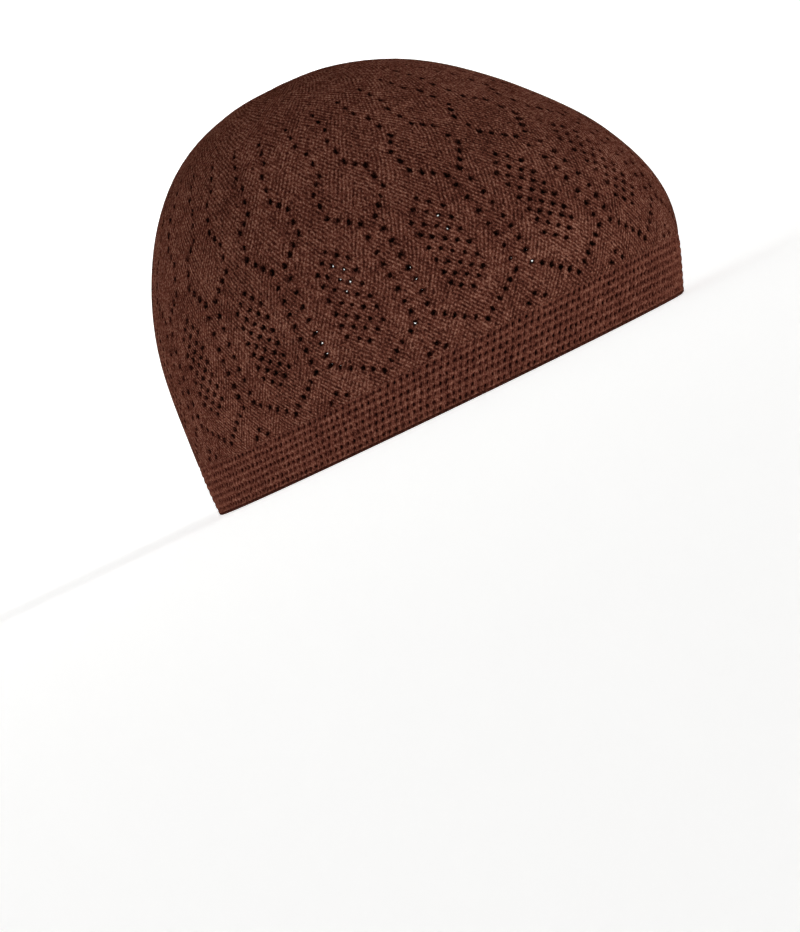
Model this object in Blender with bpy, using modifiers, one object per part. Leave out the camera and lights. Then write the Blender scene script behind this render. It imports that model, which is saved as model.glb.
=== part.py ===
"""A knitted kufi: an openwork crown, a band of ribbed stitches and a rolled edge.

Metres, +Z up. The front faces -Y, the cap rests on its rolled edge at z = 0, and the origin is
in the middle under it. "Turn" is the angle round the cap from the front, "lift" the angle up
its side, from 0 at the rim to 90 degrees at the top.
"""
import math

import bmesh
import bpy
import numpy as np

# Outer sizes of the cap.
rim_length = 0.204
rim_width = 0.160
cap_height = 0.1388
# How far the top sits behind the middle of the rim.
top_set_back = 0.0096

# Knitted cloth of the crown.
crown_wall = 0.0020
# Clearance between neighbouring pieces.
joint_gap = 0.0003

# Band: height up the cloth at the cap's side, thickness, ribs and how far each stands out.
band_height = 0.0192
band_wall = 0.0022
rib_count = 7
rib_relief = 0.0005

# Rolled edge: height up the cloth and how far the roll bulges past the wall on each side.
edge_height = 0.0026
edge_bulge = 0.0004
edge_flat_inset = 0.0002

# Openwork: sixteen medallions of coarse gaps, each three columns wide and five rows tall.
medallion_count = 16
medallion_turn = math.radians(9.9)
medallion_width_share = 0.42
medallion_foot_share = 0.190
medallion_head_share = 0.408
gap_rows = 5
gap_columns = 3
gap_bar = 0.0017

# Facets: plain columns between two medallions, rows below and above them, band columns.
plain_columns = 3
rows_below = 2
rows_above = 8
band_columns = 72

# Side view and front view of the cap, as shares of half of a plain oval of the rim's size:
# each row is a section at a lift in degrees, with its reach to the front, side and back.
sections = np.array(
    [
        (0.0, 1.000, 1.000, 1.000),
        (15.0, 1.154, 1.066, 1.001),
        (30.0, 1.194, 1.114, 1.040),
        (45.0, 1.163, 1.125, 1.078),
        (60.0, 1.176, 1.175, 1.154),
        (75.0, 1.271, 1.257, 1.251),
        (90.0, 1.343, 1.343, 1.343),
    ],
    dtype=[("lift", float), ("front", float), ("side", float), ("back", float)],
)


def smooth_between(at, places, values):
    """Read a smooth curve through the given places and values, with slopes from its neighbours."""
    slopes = np.gradient(values, places)
    cell = np.clip(np.searchsorted(places, at, side="right") - 1, 0, len(places) - 2)
    width = places[cell + 1] - places[cell]
    part = (at - places[cell]) / width
    low = values[cell] * (1 + 2 * part) * (1 - part) ** 2 + slopes[cell] * width * part * (1 - part) ** 2
    high = values[cell + 1] * part ** 2 * (3 - 2 * part) - slopes[cell + 1] * width * part ** 2 * (1 - part)
    return low + high


def reach(name, lift):
    """Distance of the cloth from the cap's axis to the front, side or back at each lift."""
    half = rim_width / 2 if name == "side" else rim_length / 2
    return half * smooth_between(np.degrees(lift), sections["lift"], sections[name]) * np.cos(lift)


def cap_middle():
    """Y of the middle of the cap's whole length, which is where the origin goes."""
    lift = np.radians(np.linspace(0.0, 90.0, 181))
    back_shift = top_set_back * np.sin(lift) ** 2
    furthest_front = np.min(back_shift - reach("front", lift))
    furthest_back = np.max(back_shift + reach("back", lift)) + edge_bulge
    return (furthest_front + furthest_back) / 2


def cloth(turns, shares, y_middle=cap_middle()):
    """Points of the outer face, shares of the way up the cloth by turns; the last axis is x, y, z."""
    lift = np.radians(np.linspace(0.0, 90.0, 361))[:, None]
    turn = turns[None, :]
    length_way = np.where(np.cos(turn) > 0, -reach("front", lift), -reach("back", lift)) * np.cos(turn)
    x = reach("side", lift) * np.sin(turn)
    y = length_way + top_set_back * np.sin(lift) ** 2 - y_middle
    z = cap_height * np.sin(lift) * np.ones_like(turn)
    lines = np.stack([x, y, z], axis=-1)
    steps = np.linalg.norm(np.diff(lines, axis=0), axis=-1)
    run = np.concatenate([np.zeros((1, len(turns))), np.cumsum(steps, axis=0)])
    run /= run[-1]
    points = np.empty((len(shares), len(turns), 3))
    for column in range(len(turns)):
        for axis in range(3):
            points[:, column, axis] = np.interp(shares, run[:, column], lines[:, column, axis])
    return points


def side_run():
    """Length of the cloth from the rim to the top at the cap's side."""
    line = cloth(np.array([math.pi / 2]), np.linspace(0.0, 1.0, 361))[:, 0]
    return np.linalg.norm(np.diff(line, axis=0), axis=-1).sum()


def outward(turns, shares):
    """Unit normals of the outer face at the same places as cloth gives."""
    tiny = 0.002
    around = cloth(turns + tiny, shares) - cloth(turns - tiny, shares)
    upward = cloth(turns, shares + tiny) - cloth(turns, np.maximum(shares - tiny, 0.0))
    normals = np.cross(around, upward)
    return normals / np.linalg.norm(normals, axis=-1, keepdims=True)


def knitted_material(name, colour, roughness):
    """Matte yarn of one colour."""
    material = bpy.data.materials.new(name)
    material.use_nodes = True
    shader = material.node_tree.nodes["Principled BSDF"]
    shader.inputs["Base Color"].default_value = (*colour, 1.0)
    shader.inputs["Roughness"].default_value = roughness
    shader.inputs["Metallic"].default_value = 0.0
    return material


def add_object(name, mesh, material, collection):
    """Put a smooth-shaded mesh with one material into the collection."""
    mesh.materials.append(material)
    mesh.shade_smooth()
    mesh.set_sharp_from_angle(angle=math.radians(50))
    thing = bpy.data.objects.new(name, mesh)
    collection.objects.link(thing)
    return thing


def swept_ring(name, points):
    """Mesh of a closed section carried round the cap; points are section points by turns."""
    around_section, around_cap, _ = points.shape
    index = np.arange(around_section * around_cap).reshape(around_section, around_cap)
    next_turn = np.roll(index, -1, axis=1)
    faces = np.stack([index, next_turn, np.roll(next_turn, -1, axis=0), np.roll(index, -1, axis=0)], axis=-1)
    mesh = bpy.data.meshes.new(name)
    mesh.from_pydata(points.reshape(-1, 3).tolist(), [], faces.reshape(-1, 4).tolist())
    return mesh


def crown_turns():
    """Turns of the crown's columns: narrow ones across each medallion, wider ones between."""
    repeat = 2 * math.pi / medallion_count
    half = repeat * medallion_width_share / 2
    across = np.linspace(-half, half, gap_columns + 1)[:-1]
    between = np.linspace(half, repeat - half, plain_columns + 1)[:-1]
    one_repeat = np.concatenate([across, between])
    starts = medallion_turn + repeat * np.arange(medallion_count)
    return (starts[:, None] + one_repeat[None, :]).ravel()


def crown_shares(foot):
    """Shares of the crown's rows up the cloth, from its foot almost to the top."""
    below = np.linspace(foot, medallion_foot_share, rows_below + 1)[:-1]
    openwork = np.linspace(medallion_foot_share, medallion_head_share, gap_rows + 1)[:-1]
    above = np.linspace(medallion_head_share, 1.0, rows_above + 1)[:-1]
    return np.concatenate([below, openwork, above])


def is_gap(row, column):
    """True where a row and column of the crown's grid is one of a medallion's staggered gaps."""
    in_row = row - rows_below
    in_column = column % (gap_columns + plain_columns)
    inside = 0 <= in_row < gap_rows and in_column < gap_columns
    return inside and (in_row + in_column) % 2 == 1


def make_crown(foot, material, collection):
    """Openwork crown: an open dome of rows and columns, its gaps cut out, given its wall."""
    turns = crown_turns()
    shares = crown_shares(foot)
    points = cloth(turns, shares)
    top = cloth(np.array([0.0]), np.array([1.0]))[0, 0]
    shape = bmesh.new()
    rings = [[shape.verts.new(point) for point in ring] for ring in points]
    peak = shape.verts.new(top)
    gaps = []
    columns = len(turns)
    for row in range(len(shares) - 1):
        for column in range(columns):
            beside = (column + 1) % columns
            corners = [rings[row][column], rings[row][beside], rings[row + 1][beside], rings[row + 1][column]]
            face = shape.faces.new(corners)
            if is_gap(row, column):
                gaps.append(face)
    for column in range(columns):
        shape.faces.new([rings[-1][column], rings[-1][(column + 1) % columns], peak])
    shape.normal_update()
    bmesh.ops.inset_individual(shape, faces=gaps, thickness=gap_bar / 2, use_even_offset=True)
    bmesh.ops.delete(shape, geom=gaps, context="FACES_ONLY")
    mesh = bpy.data.meshes.new("crown")
    shape.to_mesh(mesh)
    shape.free()
    crown = add_object("crown", mesh, material, collection)
    wall = crown.modifiers.new("wall", "SOLIDIFY")
    wall.thickness = crown_wall
    wall.offset = -1.0
    wall.use_even_offset = True
    return crown


def make_band(foot, head, material, collection):
    """Band of horizontal ribs: a plain inner face, and an outer one that waves with each rib."""
    turns = np.linspace(0.0, 2 * math.pi, band_columns, endpoint=False)
    ridges = np.arange(2 * rib_count + 1)
    shares = foot + (head - foot) * ridges / (2 * rib_count)
    relief = np.where(ridges % 2 == 1, rib_relief / 2, -rib_relief / 2)[:, None, None]
    outer = cloth(turns, shares) + outward(turns, shares) * relief
    ends = np.array([head, foot])
    inner = cloth(turns, ends) - outward(turns, ends) * band_wall
    mesh = swept_ring("band", np.concatenate([outer, inner]))
    return add_object("band", mesh, material, collection)


def make_edge(head, material, collection):
    """Rolled edge: a rounded section with the flat underside that the cap rests on."""
    turns = np.linspace(0.0, 2 * math.pi, band_columns, endpoint=False)
    section = np.array(
        [
            (0.00, -edge_flat_inset),
            (0.25, edge_bulge),
            (0.75, edge_bulge),
            (1.00, 0.0),
            (1.00, -band_wall),
            (0.75, -band_wall - edge_bulge),
            (0.25, -band_wall - edge_bulge),
            (0.00, -band_wall + edge_flat_inset),
        ],
        dtype=[("up", float), ("out", float)],
    )
    shares = head * section["up"]
    points = np.concatenate(
        [
            cloth(turns, shares[[row]]) + outward(turns, shares[[row]]) * section["out"][row]
            for row in range(len(section))
        ]
    )
    points[[0, -1], :, 2] = 0.0
    mesh = swept_ring("rolled_edge", points)
    return add_object("rolled_edge", mesh, material, collection)


def make_kufi():
    """Build the three pieces of the cap, each from the same cloth surface."""
    for old in list(bpy.data.objects):
        bpy.data.objects.remove(old)
    collection = bpy.data.collections.new("kufi")
    bpy.context.scene.collection.children.link(collection)
    whole_run = side_run()
    edge_head = edge_height / whole_run
    band_foot = (edge_height + joint_gap) / whole_run
    band_head = band_height / whole_run
    crown_foot = (band_height + joint_gap) / whole_run
    crown_yarn = knitted_material("crown yarn", (0.092, 0.033, 0.023), 0.85)
    band_yarn = knitted_material("band yarn", (0.095, 0.035, 0.024), 0.85)
    edge_yarn = knitted_material("edge yarn", (0.085, 0.031, 0.022), 0.80)
    make_crown(crown_foot, crown_yarn, collection)
    make_band(band_foot, band_head, band_yarn, collection)
    make_edge(edge_head, edge_yarn, collection)


make_kufi()
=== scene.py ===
"""A knitted kufi resting on its rolled edge: openwork crown, stitched band and rolled edge."""
import math

import bpy
import numpy as np
from mathutils import Matrix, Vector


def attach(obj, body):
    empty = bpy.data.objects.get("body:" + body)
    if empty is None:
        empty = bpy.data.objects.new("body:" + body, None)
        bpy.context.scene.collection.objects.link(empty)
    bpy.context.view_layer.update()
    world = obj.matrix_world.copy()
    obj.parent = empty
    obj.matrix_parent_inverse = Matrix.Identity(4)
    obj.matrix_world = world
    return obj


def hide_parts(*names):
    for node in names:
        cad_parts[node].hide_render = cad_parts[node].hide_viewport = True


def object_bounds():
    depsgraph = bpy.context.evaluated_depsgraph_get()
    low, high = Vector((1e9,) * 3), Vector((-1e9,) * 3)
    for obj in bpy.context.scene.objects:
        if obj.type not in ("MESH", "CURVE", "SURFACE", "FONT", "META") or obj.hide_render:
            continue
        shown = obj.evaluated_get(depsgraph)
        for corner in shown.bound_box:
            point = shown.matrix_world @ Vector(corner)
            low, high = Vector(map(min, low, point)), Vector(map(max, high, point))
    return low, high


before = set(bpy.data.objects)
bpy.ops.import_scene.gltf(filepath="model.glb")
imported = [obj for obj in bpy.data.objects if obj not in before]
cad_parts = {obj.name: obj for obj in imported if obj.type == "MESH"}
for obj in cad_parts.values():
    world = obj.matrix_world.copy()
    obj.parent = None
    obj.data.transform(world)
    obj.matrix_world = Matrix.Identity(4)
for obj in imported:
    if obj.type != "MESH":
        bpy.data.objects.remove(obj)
solid_low, solid_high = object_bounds()

# Crown
# A deep dome knitted in the round from fine brown yarn, about 1.6 mm a stitch and 1.5 mm thick.
# The knitting leaves eyelets open in it: sixteen hexagonal medallions, with arms, rings and V
# shapes round them. Stitches are taken in towards the top, and the foot grows out of the band.

rim_length = 0.204
rim_width = 0.160
cap_height = solid_high.z
top_set_back = 0.0096
crown_wall = 0.0015
swell_height = 0.00022

# Length of the cloth from the rim to the top at the side, to turn heights into shares of it.
side_run = 0.1818
band_height = 0.0192
foot_tuck = 0.0009
band_head_share = band_height / side_run
tuck_share = foot_tuck / side_run

# Sections at a lift in degrees: reach to the front, side and back as shares of a plain oval.
sections = np.array(
    [
        (0.0, 1.000, 1.000, 1.000),
        (15.0, 1.154, 1.066, 1.001),
        (30.0, 1.194, 1.114, 1.040),
        (45.0, 1.163, 1.125, 1.078),
        (60.0, 1.176, 1.175, 1.154),
        (75.0, 1.271, 1.257, 1.251),
        (90.0, 1.343, 1.343, 1.343),
    ],
    dtype=[("lift", float), ("front", float), ("side", float), ("back", float)],
)


def smooth_between(at, places, values):
    """Cubic through places and values, each slope the mean of its neighbours' slopes."""
    slopes = np.gradient(values, places)
    cell = np.clip(np.searchsorted(places, at, side="right") - 1, 0, len(places) - 2)
    width = places[cell + 1] - places[cell]
    part = (at - places[cell]) / width
    rest = 1 - part
    low = values[cell] * (1 + 2 * part) * rest ** 2 + slopes[cell] * width * part * rest ** 2
    high = values[cell + 1] * part ** 2 * (3 - 2 * part)
    return low + high - slopes[cell + 1] * width * part ** 2 * rest


def reach(name, lift):
    """Half an oval's axis, times the section's share, times the cosine of the lift."""
    half = rim_width / 2 if name == "side" else rim_length / 2
    return half * smooth_between(np.degrees(lift), sections["lift"], sections[name]) * np.cos(lift)


# The frame's origin is under the middle of the whole length, rolled edge included.
edge_stands_out = 0.0004
quarter = np.radians(np.linspace(0.0, 90.0, 361))
set_back = top_set_back * np.sin(quarter) ** 2
furthest_front = np.min(set_back - reach("front", quarter))
furthest_back = np.max(set_back + reach("back", quarter)) + edge_stands_out
y_middle = (furthest_front + furthest_back) / 2


def dome(turn, lift):
    """Quarter ovals round the cap: x by the turn's sine, y by its cosine, z by the lift's sine."""
    half_length = np.where(np.cos(turn) > 0, reach("front", lift), reach("back", lift))
    x = reach("side", lift) * np.sin(turn)
    y = top_set_back * np.sin(lift) ** 2 - half_length * np.cos(turn) - y_middle
    z = cap_height * np.sin(lift)
    return np.stack(np.broadcast_arrays(x, y, z), axis=-1)


table_turns = np.linspace(0.0, 2 * math.pi, 361)
table_shares = np.linspace(0.0, 1.0, 401)


def lift_table():
    """Lift at equal shares of each line from rim to top, by running length along the line."""
    lines = dome(table_turns[None, :], quarter[:, None])
    steps = np.linalg.norm(np.diff(lines, axis=0), axis=-1)
    run = np.concatenate([np.zeros((1, len(table_turns))), np.cumsum(steps, axis=0)])
    run /= run[-1]
    return np.stack([np.interp(table_shares, line, quarter) for line in run.T], axis=1)


lifts = lift_table()


def cloth(turn, share):
    """Point of the outer face: the lift between the table's four nearest values, on the dome."""
    across = np.mod(turn, 2 * math.pi) / (2 * math.pi) * (len(table_turns) - 1)
    up = np.clip(share, 0.0, 1.0) * (len(table_shares) - 1)
    i = np.clip(across.astype(int), 0, len(table_turns) - 2)
    j = np.clip(up.astype(int), 0, len(table_shares) - 2)
    p = across - i
    q = up - j
    lower = lifts[j, i] * (1 - p) + lifts[j, i + 1] * p
    upper = lifts[j + 1, i] * (1 - p) + lifts[j + 1, i + 1] * p
    return dome(turn, lower * (1 - q) + upper * q)


def tangents(turn, share):
    """Change of the point with the turn and with the share, by central differences."""
    tiny = 0.004
    around = (cloth(turn + tiny, share) - cloth(turn - tiny, share)) / (2 * tiny)
    low = np.clip(share - tiny, 0.0, 1.0)
    high = np.clip(share + tiny, 0.0, 1.0)
    upward = (cloth(turn, high) - cloth(turn, low)) / (high - low)[..., None]
    return around, upward


def knit_surface(turn, share, out):
    """Point on the cloth moved out along the unit normal, and by three slow sine waves round and
    up the cap, which fade in over 15 % of the way up and out over the last 10 %."""
    around, upward = tangents(turn, np.minimum(share, 0.985))
    normal = np.cross(around, upward)
    normal /= np.linalg.norm(normal, axis=-1, keepdims=True)
    window = np.clip((share - 0.02) / 0.15, 0.0, 1.0) * np.clip((1.0 - share) / 0.1, 0.0, 1.0)
    swell = np.sin(3 * turn + 9 * share + 0.6) + 0.7 * np.sin(7 * turn - 14 * share + 2.0)
    swell += 0.5 * np.sin(13 * turn + 23 * share)
    return cloth(turn, share) + normal * (out + swell_height * window * swell)[..., None]


# Knitting chart: sixteen repeats of twelve columns, the first medallion a little past the front.
repeats = 16
columns_each = 12
crown_columns = repeats * columns_each
column_turn = 2 * math.pi / crown_columns
repeat_turn = math.radians(9.9)


def chart():
    """Eyelets of one repeat: column, half row, half width and half height in millimetres, and
    tilt in degrees. The medallion is a lattice that narrows by two half rows a column; on each
    side come its arm, V, ring and chain to the top, then the wide V below it."""
    eyelets = [
        (column, row, 0.98, 0.83, 0.0)
        for column in range(-2, 3)
        for row in range(abs(column), 15 - abs(column), 2)
    ]
    for side in (-1, 1):
        eyelets += [(5 * side, row, 1.28, 0.80, 20.0) for row in range(-1, 15, 2)]
        eyelets += [(5 * side, 15, 0.98, 1.25, -5.0)]
        eyelets += [(side * (5 - step), 15 + step, 0.90, 1.36, -8.0) for step in (1, 2, 3)]
        eyelets += [(2 * side, row, 0.92, 1.34, -5.0) for row in (20, 22)]
        eyelets += [(3 * side, 23, 0.90, 1.30, -10.0 * side)]
        eyelets += [(4 * side, row, 0.85, 1.25, -5.0) for row in (24, 26, 28)]
        eyelets += [(3 * side, row, 0.74, 1.10, 5.0 * side) for row in (30, 32, 34)]
        eyelets += [
            (side * (5 - step), -1 - step, 0.74, 1.32, 28.0 * side) for step in (1, 2, 3, 4)
        ]
    eyelets += [(0, -6, 0.95, 1.00, 0.0), (6, -6, 0.90, 0.95, 0.0)]
    eyelets += [(5, -7, 1.05, 0.90, -20.0), (7, -7, 1.05, 0.90, 20.0)]
    sizes = ("row", "half_wide", "half_tall", "tilt")
    return np.array(eyelets, dtype=[("column", int)] + [(name, float) for name in sizes])


# Half rows of the chart against shares of the way up the cloth: close at the foot, wider above.
row_shares = np.array(
    [
        (-8.5, band_head_share - tuck_share),
        (-4.0, 0.1530),
        (-1.0, 0.1860),
        (3.0, 0.2353),
        (7.0, 0.2895),
        (11.0, 0.3490),
        (15.0, 0.4150),
        (20.0, 0.4940),
        (24.0, 0.5590),
        (30.0, 0.6550),
        (34.0, 0.7100),
        (44.0, 0.8450),
        (56.0, 0.9850),
    ],
    dtype=[("row", float), ("share", float)],
)


def share_of(row):
    """Share of the way up the cloth at a half row, by a smooth curve through the row table."""
    return smooth_between(row, row_shares["row"], row_shares["share"])


# Stitches: two to a column of the chart, then about 1.5 mm wide between the rounds, given as
# shares, where some are taken in towards the top.
stitch_width = 0.00150
stitches_each_column = 2
decrease_shares = np.array(
    [0.0, 0.46, 0.55, 0.62, 0.68, 0.74, 0.79, 0.84, 0.88, 0.92, 0.95, 0.975, 1.01]
)


def stitches_round():
    """Whole stitches round each zone between two decrease rounds: its girth over the stitch."""
    middle = (decrease_shares[:-1] + np.minimum(decrease_shares[1:], 1.0)) / 2
    loop = np.linspace(0.0, 2 * math.pi, 181)
    rings = cloth(loop[None, :], middle[:, None] * np.ones((1, len(loop))))
    girth = np.linalg.norm(np.diff(rings, axis=1), axis=-1).sum(axis=1)
    counts = np.maximum(np.round(girth / stitch_width), 6)
    counts[0] = crown_columns * stitches_each_column
    return counts


zone_stitches = stitches_round()


def knit_uv(turn, share):
    """Stitch counts round and up: turn by the zone's stitches, share by the chart's half rows."""
    turn = np.mod(turn, 2 * math.pi)
    crosses_front = np.ptp(turn, axis=1, keepdims=True) > math.pi
    wrapped = np.where(crosses_front & (turn < math.pi), turn + 2 * math.pi, turn)
    zone = np.searchsorted(decrease_shares, share.mean(axis=1)) - 1
    zone = np.clip(zone, 0, len(decrease_shares) - 2)
    around = wrapped / (2 * math.pi) * zone_stitches[zone][:, None]
    upward = np.interp(share, row_shares["share"], row_shares["row"])
    return np.stack([around, upward], axis=-1)


def mesh_from(name, points, faces, uvs):
    """Mesh of quads and triangles with one UV map; faces and uvs are matching lists of arrays."""
    mesh = bpy.data.meshes.new(name)
    sizes = np.concatenate([np.full(len(part), part.shape[1]) for part in faces])
    corners = np.concatenate([part.ravel() for part in faces])
    mesh.vertices.add(len(points))
    mesh.vertices.foreach_set("co", points.astype(np.float32).ravel())
    mesh.loops.add(len(corners))
    mesh.loops.foreach_set("vertex_index", corners.astype(np.int32))
    mesh.polygons.add(len(sizes))
    starts = np.concatenate([[0], np.cumsum(sizes)[:-1]])
    mesh.polygons.foreach_set("loop_start", starts.astype(np.int32))
    layer = mesh.uv_layers.new(name="knit")
    flat = np.concatenate([part.reshape(-1, 2) for part in uvs])
    layer.data.foreach_set("uv", flat.astype(np.float32).ravel())
    mesh.update(calc_edges=True)
    mesh.validate()
    mesh.shade_smooth()
    return mesh


# Cells of the crown's grid: a column by a half row, and by two half rows above the eyelets.
row_edges = np.concatenate([np.arange(-8.5, 36.0, 1.0), np.arange(37.5, 56.0, 2.0)])
eyelets = np.tile(chart(), repeats)
first_column = np.repeat(columns_each * np.arange(repeats), len(eyelets) // repeats)
eyelet_column = (eyelets["column"] + first_column) % crown_columns
beside_column = (eyelet_column + 1) % crown_columns
eyelet_row = np.searchsorted(row_edges, eyelets["row"]) - 1

# An eyelet: rounding of the cloth at it, least cloth left beside it, points round it, depths of
# its mouth and of its throat above the inner face, and the throat's share of the mouth.
lip = 0.00024
bar = 1.3 * lip
eyelet_points = 12
mouth_depth = 0.00035
throat_rise = 0.0004
throat_share = 0.56


def cell_grid():
    """Turns and shares of the cells' corners, by column and half row; an eyelet pushes the lower
    and upper edge of its cell apart by a fifth of a row each."""
    turns = repeat_turn + (np.arange(crown_columns) - 0.5) * column_turn
    turn_grid, share_grid = np.meshgrid(turns, share_of(row_edges))
    pushed = np.zeros_like(turn_grid)
    for row, way in ((eyelet_row, -1.0), (eyelet_row + 1, 1.0)):
        for column in (eyelet_column, beside_column):
            np.add.at(pushed, (row, column), way)
    return turn_grid, share_grid + 0.20 * pushed * np.gradient(share_of(row_edges))[:, None]


def eyelet_rings(share_grid, rng):
    """Four rings down each eyelet: its rounded lip, mouth, narrow throat and inner lip. A ring is
    a tilted oval with an uneven outline, a little off the middle of its cell."""
    each = (len(eyelets), 1)
    low = share_grid[eyelet_row, eyelet_column] + share_grid[eyelet_row, beside_column]
    high = share_grid[eyelet_row + 1, eyelet_column] + share_grid[eyelet_row + 1, beside_column]
    low = low.reshape(each) / 2
    high = high.reshape(each) / 2
    centre_turn = (repeat_turn + eyelet_column * column_turn).reshape(each)
    centre_share = (low + high) / 2
    around, upward = tangents(centre_turn, centre_share)
    turn_length = np.linalg.norm(around, axis=-1)
    share_length = np.linalg.norm(upward, axis=-1)
    room_wide = turn_length * column_turn / 2 - bar
    room_tall = share_length * (high - low) / 2 - bar
    half_wide = eyelets["half_wide"].reshape(each) * rng.uniform(0.66, 1.12, each) * 0.001
    half_tall = eyelets["half_tall"].reshape(each) * rng.uniform(0.70, 1.14, each) * 0.001
    half_wide = np.minimum(half_wide, room_wide * 0.95)
    half_tall = np.minimum(half_tall, room_tall * 1.10)
    off_wide = rng.uniform(-0.7, 0.7, each) * np.maximum(room_wide - half_wide, 0.0)
    off_tall = rng.uniform(-0.7, 0.7, each) * np.maximum(room_tall - half_tall, 0.0)
    tilt = np.radians(eyelets["tilt"].reshape(each) + rng.uniform(-12.0, 12.0, each))
    spoke = np.radians(-135.0 + 360.0 / eyelet_points * np.arange(eyelet_points))
    angle = np.arctan2(np.sin(spoke) * room_tall, np.cos(spoke) * room_wide)
    oval = np.hypot(np.cos(angle - tilt) / half_wide, np.sin(angle - tilt) / half_tall)
    radius = (1.0 + rng.uniform(-0.10, 0.10, angle.shape)) / oval

    def ring(share, grow, out):
        """A share of the oval, grown by a width, kept inside its cell and set at one depth."""
        wide = (radius * share + grow) * np.cos(angle) + off_wide
        tall = (radius * share + grow) * np.sin(angle) + off_tall
        wide = np.clip(wide, -room_wide - grow, room_wide + grow)
        tall = np.clip(tall, -room_tall - grow, room_tall + grow)
        turn = centre_turn + wide / turn_length
        up = centre_share + tall / share_length
        return turn, up, knit_surface(turn, up, np.full_like(turn, out))

    return [
        ring(1.0, lip, -0.00004),
        ring(1.0, 0.0, -mouth_depth),
        ring(throat_share, 0.0, throat_rise - crown_wall),
        ring(1.0, lip, -crown_wall),
    ]


def hole_border(corners, hole):
    """Quads and triangles between a cell's four corners and the twelve points of its hole."""
    quads = []
    triangles = []
    for side in range(4):
        here = corners[side]
        there = corners[(side + 1) % 4]
        p = [hole[:, (3 * side + k) % eyelet_points] for k in range(4)]
        quads.append(np.stack([here, there, p[2], p[1]], axis=-1))
        triangles.append(np.stack([here, p[1], p[0]], axis=-1))
        triangles.append(np.stack([there, p[3], p[2]], axis=-1))
    return np.concatenate(quads), np.concatenate(triangles)


def crown_mesh():
    """Outer and inner grids of cells, a hole of four rings through each cell of the chart, and
    the foot and the top closed. Eyelet shade is painted shade on the yarn: 1 down in an
    eyelet, fading out at its lips."""
    rng = np.random.default_rng(5)
    turn_grid, share_grid = cell_grid()
    foot_dip = np.zeros_like(turn_grid)
    foot_dip[:2] = np.array([[-0.0007], [-0.0001]])
    inner_depth = np.full_like(turn_grid, -crown_wall)
    layers = [
        (turn_grid, share_grid, knit_surface(turn_grid, share_grid, foot_dip)),
        (turn_grid, share_grid, knit_surface(turn_grid, share_grid, inner_depth)),
    ]
    layers += eyelet_rings(share_grid, rng)
    top_turn = np.zeros(1)
    top_share = np.ones(1)
    for out in (0.0, -crown_wall):
        layers.append((top_turn, top_share, knit_surface(top_turn, top_share, np.full(1, out))))
    turns = np.concatenate([turn.ravel() for turn, share, points in layers])
    shares = np.concatenate([share.ravel() for turn, share, points in layers])
    points = np.concatenate([points.reshape(-1, 3) for turn, share, points in layers])

    grid = np.arange(turn_grid.size).reshape(turn_grid.shape)
    beside = np.roll(grid, -1, axis=1)
    to_inner = turn_grid.size
    holes = 2 * turn_grid.size + np.arange(4 * len(eyelets) * eyelet_points)
    holes = holes.reshape(4, len(eyelets), eyelet_points)
    cells = np.stack([grid[:-1], beside[:-1], beside[1:], grid[1:]], axis=-1)
    open_cell = np.zeros(cells.shape[:2], bool)
    open_cell[eyelet_row, eyelet_column] = True
    plain = cells[~open_cell]
    corners = cells[eyelet_row, eyelet_column].T
    outer_quads, outer_triangles = hole_border(corners, holes[0])
    inner_quads, inner_triangles = hole_border(corners + to_inner, holes[3])
    quads = [plain, plain[:, ::-1] + to_inner, outer_quads, inner_quads[:, ::-1]]
    for upper, lower in zip(holes[:-1], holes[1:]):
        sides = [upper, np.roll(upper, -1, axis=1), np.roll(lower, -1, axis=1), lower]
        quads.append(np.stack(sides, axis=-1).reshape(-1, 4))
    quads.append(np.stack([grid[0] + to_inner, beside[0] + to_inner, beside[0], grid[0]], axis=-1))
    quads = np.concatenate(quads)
    triangles = np.concatenate([outer_triangles, inner_triangles[:, ::-1]])
    peak = np.full(crown_columns, len(points) - 2)
    last = grid[-1]
    last_beside = beside[-1]
    outer_top = np.stack([last, last_beside, peak], axis=-1)
    inner_top = np.stack([last_beside + to_inner, last + to_inner, peak + 1], axis=-1)
    peaks = np.concatenate([outer_top, inner_top])
    peak_turns = turns[peaks]
    peak_turns[:, 2] = peak_turns[:, 0]
    uvs = [
        knit_uv(turns[quads], shares[quads]),
        knit_uv(turns[triangles], shares[triangles]),
        knit_uv(peak_turns, shares[peaks]),
    ]
    mesh = mesh_from("knit_crown", points, [quads, triangles, peaks], uvs)
    # Painted shade for the yarn in and round each eyelet: 1 in its mouth and throat, 0.25 at its
    # outer lip and 0.5 at its inner lip, times 0.85 to 1 by eyelet.
    eyelet_shade = np.zeros(len(points))
    darkness = rng.uniform(0.85, 1.0, (len(eyelets), 1))
    for ring, value in zip(holes, (0.25, 1.0, 1.0, 0.5)):
        eyelet_shade[ring] = value * darkness
    layer = mesh.attributes.new("eyelet_shade", "FLOAT", "POINT")
    layer.data.foreach_set("value", eyelet_shade.astype(np.float32))
    return mesh


def linear(code):
    """Linear red, green and blue of an sRGB hex colour, by the standard curve."""
    parts = [int(code[k:k + 2], 16) / 255 for k in (1, 3, 5)]
    return [p / 12.92 if p <= 0.04045 else ((p + 0.055) / 1.055) ** 2.4 for p in parts]


def node(tree, kind, inputs=(), out=0, stops=(), **settings):
    """Add a node with its settings, its colour stops, and its inputs set or linked by name or in
    order; returns the output asked for."""
    made = tree.nodes.new("ShaderNode" + kind)
    for name, value in settings.items():
        setattr(made, name, value)
    for place, code in stops[1:-1]:
        made.color_ramp.elements.new(place)
    for number, (place, code) in enumerate(stops):
        made.color_ramp.elements[number].position = place
        made.color_ramp.elements[number].color = (*linear(code), 1.0)
    for name, value in inputs.items() if isinstance(inputs, dict) else enumerate(inputs):
        if isinstance(value, bpy.types.NodeSocket):
            tree.links.new(value, made.inputs[name])
        else:
            made.inputs[name].default_value = value
    return made.outputs[out]


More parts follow.
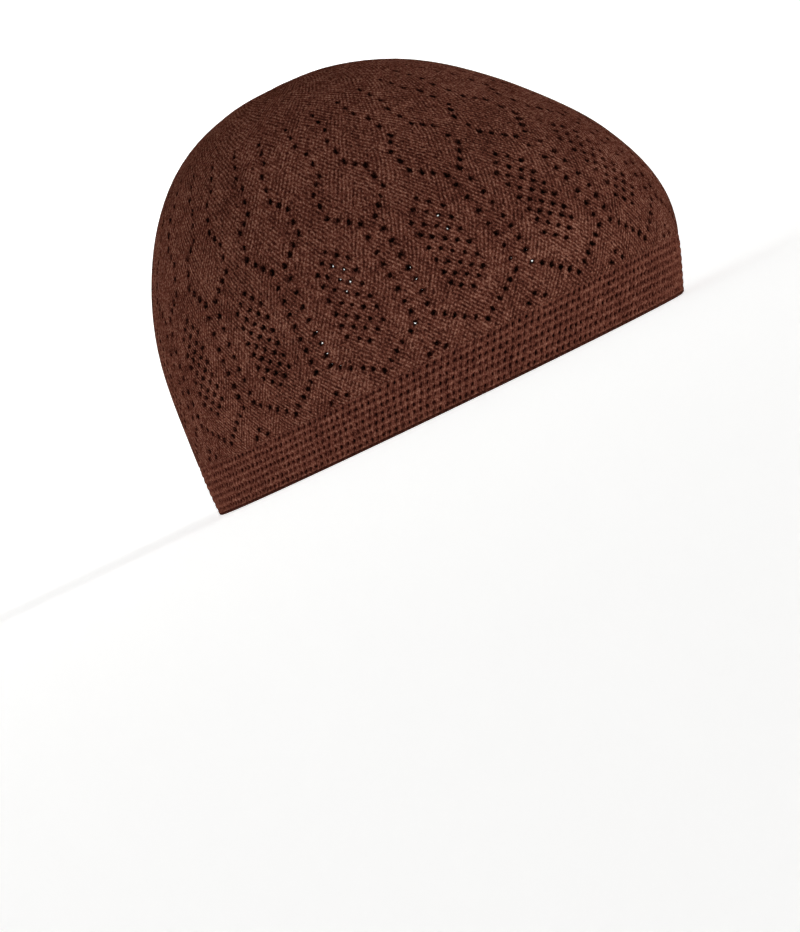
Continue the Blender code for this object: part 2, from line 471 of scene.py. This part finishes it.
def yarn(name):
    """Start a material for cotton yarn, which is matt: no gloss, and a faint warm sheen from its
    loose fibre ends. Returns it with its tree, the place in metres and the stitch counts."""
    material = bpy.data.materials.new(name)
    material.use_nodes = True
    tree = material.node_tree
    shader = tree.nodes["Principled BSDF"]
    shader.inputs["Roughness"].default_value = 0.70
    shader.inputs["Specular IOR Level"].default_value = 0.0
    shader.inputs["Sheen Weight"].default_value = 0.05
    shader.inputs["Sheen Roughness"].default_value = 0.40
    shader.inputs["Sheen Tint"].default_value = (*linear("#b8623c"), 1.0)
    place = node(tree, "TexCoord", out="Object")
    knit = node(tree, "UVMap", uv_map="knit")
    return material, tree, place, node(tree, "SeparateXYZ", (knit,)).node.outputs


def finish_yarn(tree, colour, height, depth):
    """Give the yarn its colour, and a height between 0 and about 1 as relief of a real depth."""
    normal = node(tree, "Bump", {"Height": height, "Strength": 1.0, "Distance": depth})
    shader = tree.nodes["Principled BSDF"]
    tree.links.new(colour, shader.inputs["Base Color"])
    tree.links.new(normal, shader.inputs["Normal"])


def mottle(tree, tone, noises):
    """Add to a tone each noise, less its middle value of 0.5, times its weight."""
    for noise, weight in noises:
        centred = node(tree, "Math", (noise, 0.5), operation="SUBTRACT")
        tone = node(tree, "Math", (centred, weight, tone), operation="MULTIPLY_ADD")
    return tone


# Real sizes in the yarn. Its fibres, about 0.02 mm thick, are too fine to show, so their tufts
# and specks are drawn as coarse as 0.9 and 0.4 mm. Rows wander over 6 mm, shades over 16 mm.
tuft_size = 0.0009
speck_size = 0.0004
row_wander_size = 0.006
shade_size = 0.016


def crown_yarn():
    """Fine cotton yarn, knitted: the eye sees slanted rows of small strands that cross, leaning
    the other way in the arms, mottled by fibres, with painted shade in the gaps between the
    strands, and eyelets, dark through the hole and darkened round it by painted shade. Strands
    rise as half of one plus the cosine of the stitch counts' sum, or of their difference where
    the rows lean back."""
    material, tree, place, knit = yarn("fine knitted brown yarn")
    bending = {"Vector": place, "Scale": 1 / row_wander_size, "Detail": 3.0}
    wander = node(tree, "TexNoise", bending, out="Color")
    wander = node(tree, "SeparateXYZ", (wander,)).node.outputs
    u = node(tree, "Math", (wander[0], 0.9, knit[0]), operation="MULTIPLY_ADD")
    v = node(tree, "Math", (wander[1], 0.9, knit[1]), operation="MULTIPLY_ADD")
    rising = node(tree, "Math", (u, v), operation="ADD")
    falling = node(tree, "Math", (u, v), operation="SUBTRACT")
    strands = []
    for count in (rising, falling):
        turned = node(tree, "Math", (count, 2 * math.pi), operation="MULTIPLY")
        wave = node(tree, "Math", (turned,), operation="COSINE")
        strands.append(node(tree, "Math", (wave, 0.5, 0.5), operation="MULTIPLY_ADD"))
    rows = []
    for over, under in (strands, strands[::-1]):
        crossing = node(tree, "Math", (under, 0.55, 0.45), operation="MULTIPLY_ADD")
        rows.append(node(tree, "Math", (over, crossing), operation="MULTIPLY"))

    # Columns from the medallion's middle, and a hump of one over the arm 3.6 columns away.
    first_stitch = repeat_turn / (2 * math.pi) * crown_columns * stitches_each_column
    column = node(tree, "Math", (knit[0], first_stitch), operation="SUBTRACT")
    column = node(tree, "Math", (column, 1 / stitches_each_column), operation="MULTIPLY")
    column = node(tree, "Math", (column, 6.0, -6.0), operation="WRAP")
    wavering = node(tree, "Math", (wander[2], 0.5), operation="SUBTRACT")
    column = node(tree, "Math", (wavering, 4.0, column), operation="MULTIPLY_ADD")
    beside = node(tree, "Math", (column,), operation="ABSOLUTE")
    beside = node(tree, "Math", (beside, 3.6), operation="SUBTRACT")
    beside = node(tree, "Math", (beside, 1.5), operation="DIVIDE")
    beside = node(tree, "Math", (beside, beside), operation="MULTIPLY")
    beside = node(tree, "Math", (beside, 1.0), operation="MINIMUM")
    beside = node(tree, "Math", (1.0, beside), operation="SUBTRACT")
    change = node(tree, "Math", (rows[1], rows[0]), operation="SUBTRACT")
    change = node(tree, "Math", (change, beside), operation="MULTIPLY")
    height = node(tree, "Math", (rows[0], change), operation="ADD")

    whole = [node(tree, "Math", (count,), operation="FLOOR") for count in (rising, falling)]
    stitch = node(tree, "CombineXYZ", whole)
    shade = node(tree, "TexWhiteNoise", {"Vector": stitch}, out="Value", noise_dimensions="3D")
    tuft, speck, patch = (
        node(tree, "TexNoise", {"Vector": place, "Scale": 1 / size, "Detail": detail}, out="Fac")
        for size, detail in ((tuft_size, 3.0), (speck_size, 1.0), (shade_size, 3.0))
    )
    # Painted shade: the tone follows the strands' height, so the gaps between them are darker.
    tone = node(tree, "Math", (height, 0.38, 0.30), operation="MULTIPLY_ADD")
    tone = node(tree, "Math", (shade, 0.20, tone), operation="MULTIPLY_ADD")
    tone = mottle(tree, tone, ((tuft, 1.15), (speck, 0.80), (patch, 0.32)))
    # Painted shade: the yarn is darker in and round the eyelets.
    eyelet_shade = node(tree, "Attribute", out="Fac", attribute_name="eyelet_shade")
    darker = node(tree, "Math", (eyelet_shade, 0.50), operation="MULTIPLY")
    tone = node(tree, "Math", (tone, darker), operation="SUBTRACT")
    stops = ((0.00, "#170a07"), (0.34, "#3e1f18"), (0.62, "#663a2e"), (1.0, "#9c6e5c"))
    colour = node(tree, "ValToRGB", (tone,), stops=stops)
    relief = node(tree, "Math", (tuft, 0.35, height), operation="MULTIPLY_ADD")
    finish_yarn(tree, colour, relief, depth=0.00034)
    return material


crown = bpy.data.objects.new("knit_crown", crown_mesh())
crown.data.materials.append(crown_yarn())
bpy.context.scene.collection.objects.link(crown)
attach(crown, "root")
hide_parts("crown")

# Band
# Seven rounds of thicker stitches, each about 2.4 mm wide and 2.6 mm tall, that grip the wearer.
# A small pit shows beside each upright loop, four tenths of a stitch further on in each round.
# The band is knitted on from the crown's foot, and its own foot laps over the roll.

band_wall = 0.0022
edge_height = 0.0026
band_lap = 0.0015
edge_head_share = edge_height / side_run
band_foot_share = edge_head_share - band_lap / side_run
band_rounds = 7
band_stitches = 240
samples_wide = 8
samples_tall = 5
round_slant = 0.40
loop_height = 0.00024
ridge_height = 0.00048
pit_depth = 0.00070
band_set_in = 0.00045
head_set_in = 0.00025
scallop_height = 0.0008
scallop_drop = 0.0003
inner_wave = 0.0002


def band_relief(u, v):
    """Height of the stitches, and painted shade: how deep in the pits a point is, plus 0.24 of
    the valley between two rounds. A loop rises as a cosine between two pits, a ridge as a
    cosine between two rounds, and the pits fall off as bell curves."""
    number = np.floor(np.clip(v, 0, band_rounds - 1e-6))
    up = v - number
    slanted = u - round_slant * (number + up - 0.5)
    across = np.mod(slanted + 0.10 * np.sin(u * 0.9 + number), 1.0) - 0.5
    strength = 0.8 + 0.2 * np.sin(12.9898 * np.floor(slanted) + 78.233 * number)
    pit_and_shade = np.exp(-((across / 0.18) ** 2) - ((up - 0.5) / 0.29) ** 4) * strength
    loop = 0.5 - 0.5 * np.cos(2 * math.pi * across)
    loop *= np.sin(math.pi * np.clip(up, 0, 1)) ** 0.7
    ridge = 0.5 + 0.5 * np.cos(2 * math.pi * up)
    height = loop_height * loop + ridge_height * ridge - pit_depth * pit_and_shade
    # The second value is painted shade: the pit, and 0.24 of the valley between rounds.
    return height, np.clip(pit_and_shade + 0.24 * (1.0 - ridge), 0.0, 1.0)


def swept_mesh(name, turns, shares, out, u, v, floor_rows=()):
    """Closed ring: section points by turns on the cloth surface, joined to their neighbours."""
    points = knit_surface(turns, shares, out)
    points[list(floor_rows), :, 2] = 0.0
    grid = np.arange(turns.size).reshape(turns.shape)
    beside = np.roll(grid, -1, axis=1)
    corners = [grid, beside, np.roll(beside, -1, axis=0), np.roll(grid, -1, axis=0)]
    quads = np.stack(corners, axis=-1).reshape(-1, 4)
    u_next = u + (u[:, 1:2] - u[:, :1])
    around = np.stack([u, u_next, np.roll(u_next, -1, axis=0), np.roll(u, -1, axis=0)], axis=-1)
    upward = np.stack([v, v, np.roll(v, -1, axis=0), np.roll(v, -1, axis=0)], axis=-1)
    uvs = np.stack([around, upward], axis=-1).reshape(-1, 4, 2)
    return mesh_from(name, points.reshape(-1, 3), [quads], [uvs])


def band_mesh():
    """Outer face in fine steps with the stitches' relief, a head of low scallops that lies back
    on the crown, and an inner face of low waves."""
    high = band_rounds * samples_tall + 1
    outer_v = np.linspace(0.0, band_rounds, high)
    inner_v = np.linspace(band_rounds, 0.0, 8)
    turns = np.linspace(0.0, 2 * math.pi, band_stitches * samples_wide, endpoint=False)
    turn_grid, v_grid = np.meshgrid(turns, np.concatenate([outer_v, inner_v]))
    u_grid = turn_grid / (2 * math.pi) * band_stitches
    share_grid = band_foot_share + (band_head_share - band_foot_share) * v_grid / band_rounds
    scallop = 0.5 - 0.5 * np.cos(2 * math.pi * (u_grid[0] - round_slant * band_rounds + 0.5))
    share_grid[high - 1:high + 1] += (scallop_height * scallop - scallop_drop) / side_run
    relief, pit_and_shade = band_relief(u_grid, v_grid)
    head = np.clip((v_grid[:high] - (band_rounds - 0.5)) / 0.5, 0.0, 1.0)
    out = relief - band_set_in
    out[:high] = out[:high] * (1 - head) - head_set_in * head ** 2
    waves = np.cos(2 * math.pi * u_grid[high:]) * np.cos(2 * math.pi * v_grid[high:])
    out[high:] = inner_wave * waves - band_wall
    mesh = swept_mesh("knit_band", turn_grid, share_grid, out, u_grid, v_grid)
    # Painted shade over the whole inner face of the band.
    pit_and_shade[high:] = 0.35
    layer = mesh.attributes.new("pit_and_shade", "FLOAT", "POINT")
    layer.data.foreach_set("value", pit_and_shade.astype(np.float32).ravel())
    return mesh


# The band's yarn wavers over a stitch's width, and its shade changes from stitch to stitch.
ply_waver_size = 0.0024
stitch_shade_size = 0.004


def band_yarn():
    """Thicker cotton yarn of three plies, knitted: the eye sees streaks up each stitch, darker in
    the grooves between plies by painted shade, mottled by fibres, and pits and the valleys
    between rounds darkened by painted shade. A ply is half of one plus the sine of three times
    the stitches."""
    material, tree, place, knit = yarn("thick knitted brown yarn")
    waver, tuft, patch = (
        node(tree, "TexNoise", {"Vector": place, "Scale": 1 / size, "Detail": detail}, out="Fac")
        for size, detail in ((ply_waver_size, 2.0), (tuft_size, 3.0), (stitch_shade_size, 3.0))
    )
    lean = node(tree, "Math", (knit[1], -1.2), operation="MULTIPLY")
    ply = node(tree, "Math", (knit[0], 3.0, lean), operation="MULTIPLY_ADD")
    ply = node(tree, "Math", (waver, 3.0, ply), operation="MULTIPLY_ADD")
    ply = node(tree, "Math", (ply, 2 * math.pi), operation="MULTIPLY")
    strand = node(tree, "Math", (ply,), operation="SINE")
    strand = node(tree, "Math", (strand, 0.5, 0.5), operation="MULTIPLY_ADD")
    # Painted shade: the tone follows the plies, darker in the grooves between them.
    tone = node(tree, "Math", (strand, 0.18, 0.52), operation="MULTIPLY_ADD")
    tone = mottle(tree, tone, ((tuft, 1.10), (patch, 0.40)))
    # Painted shade in the pits, in the valleys between rounds and on the inner face.
    pit_and_shade = node(tree, "Attribute", out="Fac", attribute_name="pit_and_shade")
    darker = node(tree, "Math", (pit_and_shade, 0.56), operation="MULTIPLY")
    tone = node(tree, "Math", (tone, darker), operation="SUBTRACT")
    stops = ((0.02, "#120705"), (0.32, "#42211a"), (0.62, "#704134"), (1.0, "#a4725f"))
    colour = node(tree, "ValToRGB", (tone,), stops=stops)
    relief = node(tree, "Math", (strand, 0.6), operation="MULTIPLY")
    relief = node(tree, "Math", (tuft, 0.4, relief), operation="MULTIPLY_ADD")
    finish_yarn(tree, colour, relief, depth=0.00025)
    return material


band = bpy.data.objects.new("knit_band", band_mesh())
band.data.materials.append(band_yarn())
bpy.context.scene.collection.objects.link(band)
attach(band, "root")
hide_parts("band")

# Rolled edge
# The last round, in the same yarn, is turned under and drawn tight into a smooth roll 2.6 mm
# tall, with the slanted loops of the turn just showing. The cap rests on its flat underside.

edge_samples = 4
edge_bulge = 0.00010

# Section from the underside round the roll and back: share of its height, and metres outwards.
# Its outer side is what lies further out than its middle.
edge_middle = -0.0011
edge_section = np.array(
    [
        (0.00, -0.0007),
        (0.08, -0.0003),
        (0.20, 0.0000),
        (0.34, -0.0001),
        (0.46, -0.0005),
        (0.58, -0.0012),
        (0.80, -0.0016),
        (1.10, -0.0016),
        (1.10, -0.0018),
        (0.95, -0.0023),
        (0.78, -0.0026),
        (0.50, -0.0027),
        (0.25, -0.0026),
        (0.10, -0.0023),
        (0.00, -0.0019),
        (0.00, -0.0011),
    ],
    dtype=[("up", float), ("out", float)],
)


def edge_mesh():
    """The section carried round the rim, with slanted loops one stitch apart as a low cosine."""
    turns = np.linspace(0.0, 2 * math.pi, band_stitches * edge_samples, endpoint=False)
    turn_grid, up_grid = np.meshgrid(turns, edge_section["up"])
    u_grid = turn_grid / (2 * math.pi) * band_stitches
    loops = np.cos(2 * math.pi * (u_grid + 0.5 * up_grid))
    bulge = np.clip(np.sin(math.pi * up_grid), 0.0, 1.0) * edge_bulge
    side = np.where(edge_section["out"] > edge_middle, 1.0, -1.0)[:, None]
    out = edge_section["out"][:, None] + side * bulge * loops
    shares = up_grid * edge_head_share
    underside = (0, -2, -1)
    return swept_mesh("rolled_edge_knit", turn_grid, shares, out, u_grid, up_grid, underside)


def edge_yarn():
    """The band's yarn pulled tight: the eye sees a smooth roll, darker than the band by painted
    shade at the cap's foot, with slanted strands, each half of one plus the cosine of the
    stitch count, darker in their grooves by painted shade, and only its finest fibres."""
    material, tree, place, knit = yarn("rolled brown yarn")
    waver, fibre = (
        node(tree, "TexNoise", {"Vector": place, "Scale": 1 / size, "Detail": 2.0}, out="Fac")
        for size in (ply_waver_size, speck_size)
    )
    ply = node(tree, "Math", (knit[1], 0.5, knit[0]), operation="MULTIPLY_ADD")
    ply = node(tree, "Math", (waver, 0.7, ply), operation="MULTIPLY_ADD")
    ply = node(tree, "Math", (ply, 2 * math.pi), operation="MULTIPLY")
    strand = node(tree, "Math", (ply,), operation="COSINE")
    strand = node(tree, "Math", (strand, 0.5, 0.5), operation="MULTIPLY_ADD")
    # Painted shade: the tone follows the strands, darker in the grooves between them.
    tone = node(tree, "Math", (fibre, 0.9), operation="MULTIPLY")
    tone = node(tree, "Math", (strand, 0.20, tone), operation="MULTIPLY_ADD")
    # Stops darker than the band's for the same yarn: painted shade at the cap's foot.
    stops = ((0.10, "#120605"), (0.42, "#2c140e"), (0.72, "#4a271e"), (1.0, "#7a4c3b"))
    colour = node(tree, "ValToRGB", (tone,), stops=stops)
    relief = node(tree, "Math", (strand, 0.8), operation="MULTIPLY")
    relief = node(tree, "Math", (fibre, 0.4, relief), operation="MULTIPLY_ADD")
    finish_yarn(tree, colour, relief, depth=0.00030)
    return material


edge = bpy.data.objects.new("rolled_edge_knit", edge_mesh())
edge.data.materials.append(edge_yarn())
bpy.context.scene.collection.objects.link(edge)
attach(edge, "root")
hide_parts("rolled_edge")

# Floor
# Seamless pale paper, level under the cap and far round it, then curving up on all sides, so no
# horizon shows. It is lit through from below, but for a plain oval that the cap stands over.

flat_radius = 3.0
paper_rise = 1.6
oval_inset = 0.002


def floor_mesh():
    """A fan over the oval, then rings: level to the flat radius, and up by a quarter circle."""
    angle = np.linspace(0.0, math.pi / 2, 24)
    radius = np.concatenate([[0.3, 1.0, 2.0], flat_radius + paper_rise * np.sin(angle)])
    half_x = np.concatenate([[rim_width / 2 - oval_inset], radius])
    half_y = np.concatenate([[rim_length / 2 - oval_inset], radius])
    height = np.concatenate([np.zeros(4), paper_rise * (1 - np.cos(angle))])
    turns = np.linspace(0.0, 2 * math.pi, 96, endpoint=False)
    x = half_x[:, None] * np.cos(turns)
    y = half_y[:, None] * np.sin(turns)
    y[0] -= y_middle
    z = height[:, None] * np.ones_like(turns)
    centre = [[0.0, -y_middle, 0.0]]
    points = np.concatenate([np.stack([x, y, z], axis=-1).reshape(-1, 3), centre])
    grid = np.arange(x.size).reshape(x.shape)
    beside = np.roll(grid, -1, axis=1)
    rings = np.stack([grid[:-1], grid[1:], beside[1:], beside[:-1]], axis=-1).reshape(-1, 4)
    fan = np.stack([grid[0], beside[0], np.full(len(turns), x.size)], axis=-1)
    uvs = [np.zeros((*faces.shape, 2)) for faces in (rings, fan)]
    mesh = mesh_from("floor", points, [rings, fan], uvs)
    plain = np.repeat([0, 1], [len(rings), len(fan)])
    mesh.polygons.foreach_set("material_index", plain.astype(np.int32))
    return mesh


def paper(name, glow):
    """Matt pale paper: the eye sees an even near white. The glow is its light from below."""
    material = bpy.data.materials.new(name)
    material.use_nodes = True
    shader = material.node_tree.nodes["Principled BSDF"]
    shader.inputs["Base Color"].default_value = (*linear("#e8e7e5"), 1.0)
    shader.inputs["Roughness"].default_value = 0.9
    shader.inputs["Emission Color"].default_value = (1.0, 1.0, 1.0, 1.0)
    shader.inputs["Emission Strength"].default_value = glow
    return material


floor = bpy.data.objects.new("floor", floor_mesh())
floor.data.materials.append(paper("glowing pale paper", 0.66))
floor.data.materials.append(paper("pale paper under the cap", 0.0))
bpy.context.scene.collection.objects.link(floor)

# Light
# Soft, even studio light: a dim pale surround, a wide low key from the front and a weak fill
# from the side, besides the paper's glow.

world = bpy.data.worlds.new("pale surround")
bpy.context.scene.world = world
world.use_nodes = True
world.node_tree.nodes["Background"].inputs["Color"].default_value = (1.0, 1.0, 1.0, 1.0)
world.node_tree.nodes["Background"].inputs["Strength"].default_value = 0.145
bpy.context.scene.view_settings.view_transform = "Standard"


def lamp(name, azimuth, elevation, spread, strength):
    """Far light at a bearing and height, as wide across the sky as its spread in degrees."""
    light = bpy.data.lights.new(name, "SUN")
    light.angle = math.radians(spread)
    light.energy = strength
    stand = bpy.data.objects.new(name, light)
    stand.rotation_euler = (math.radians(90.0 - elevation), 0.0, math.radians(azimuth))
    bpy.context.scene.collection.objects.link(stand)


lamp("key light", 2.0, 11.0, 24.0, 7.8)
lamp("fill light", -80.0, 20.0, 60.0, 0.15)

# Camera
# The photograph's bearing and tilt to the cap, with the eye raised just above the floor. It
# looks at a point beside the cap's middle, so the cap has the photograph's place in the frame.

azimuth = math.radians(-65.0)
elevation = math.radians(1.6)
roll = math.radians(-25.9)
distance = 1.8
focal_pixels = 4693.0
frame_height = 932.0
sensor = 36.0
look_height = 0.06
look_right = 0.0070
look_down = 0.0774
level = math.cos(elevation)
back = np.array([math.sin(azimuth) * level, -math.cos(azimuth) * level, math.sin(elevation)])
level_right = np.array([math.cos(azimuth), math.sin(azimuth), 0.0])
level_up = np.cross(back, level_right)
right = math.cos(roll) * level_right + math.sin(roll) * level_up
up = -math.sin(roll) * level_right + math.cos(roll) * level_up
looked_at = np.array([0.0, -y_middle, look_height]) + look_right * right - look_down * up
placed = np.eye(4)
placed[:3] = np.stack([right, up, back, looked_at + back * distance], axis=-1)
view = bpy.data.objects.new("camera", bpy.data.cameras.new("camera"))
view.data.lens = focal_pixels * sensor / frame_height
view.data.sensor_width = sensor
view.matrix_world = Matrix(placed.tolist())
bpy.context.scene.collection.objects.link(view)
bpy.context.scene.camera = view
